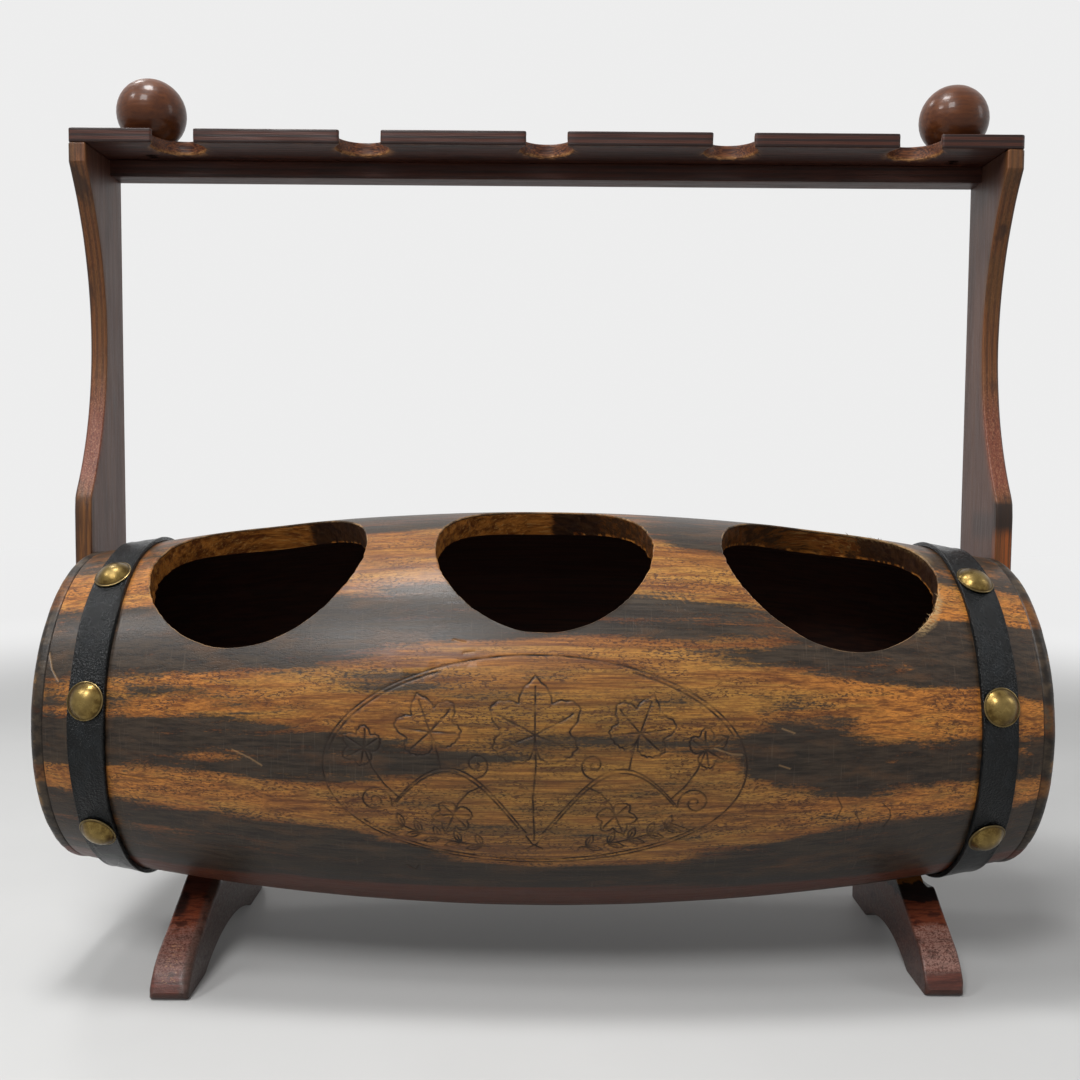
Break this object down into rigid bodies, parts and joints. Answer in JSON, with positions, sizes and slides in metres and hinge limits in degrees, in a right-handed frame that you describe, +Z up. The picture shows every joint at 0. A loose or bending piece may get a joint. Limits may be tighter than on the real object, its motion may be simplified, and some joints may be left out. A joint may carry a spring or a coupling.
{
  "type": "barrel wine rack",
  "caption": "Small stave barrel lying on two arched feet, with round bottle openings in its upper front and a notched shelf for stemmed glasses on posts at its ends.",
  "frame": {"origin": "on the floor, below the middle of the barrel", "axes": "+X along the barrel to the right, +Y to the back, +Z up; the bottle openings face -Y and up"},
  "size_m": [0.519, 0.214, 0.4825],
  "materials": {
    "stave_wood": "stained in dark and orange bands along the grain, satin varnish, worn",
    "end_wood": "stained, satin varnish",
    "post_wood": "plywood stained red-brown, satin varnish",
    "shelf_wood": "plywood stained dark red-brown, satin varnish",
    "finial_wood": "turned wood, stained red-brown, semi-gloss varnish",
    "foot_wood": "stained red-brown with dark patches, satin varnish",
    "strap_leather": "black, fine pebble, low sheen",
    "nail_brass": "antique brass, polished on the crown",
    "screw_steel": "dull zinc"
  },
  "bodies": {
    "root": {"opening_stave_part_1": "stave_wood", "opening_stave_part_2": "stave_wood", "opening_stave_part_3": "stave_wood", "opening_stave_part_4": "stave_wood", "stave_02": "stave_wood", "stave_03": "stave_wood", "stave_04": "stave_wood", "stave_05": "stave_wood", "stave_06": "stave_wood", "stave_07": "stave_wood", "stave_08": "stave_wood", "stave_09": "stave_wood", "stave_10": "stave_wood", "stave_11": "stave_wood", "stave_12": "stave_wood", "head_left": "end_wood", "strap_left": "strap_leather", "strap_nails_left": "nail_brass", "foot_left": "foot_wood", "post_left": "post_wood", "finial_left": "finial_wood", "head_right": "end_wood", "strap_right": "strap_leather", "strap_nails_right": "nail_brass", "foot_right": "foot_wood", "post_right": "post_wood", "finial_right": "finial_wood", "shelf": "shelf_wood", "back_rail": "shelf_wood", "foot_screws": "screw_steel", "post_screws": "screw_steel", "finial_screws": "screw_steel", "shelf_brads": "screw_steel", "rail_brads": "screw_steel"}
  },
  "joints": []
}
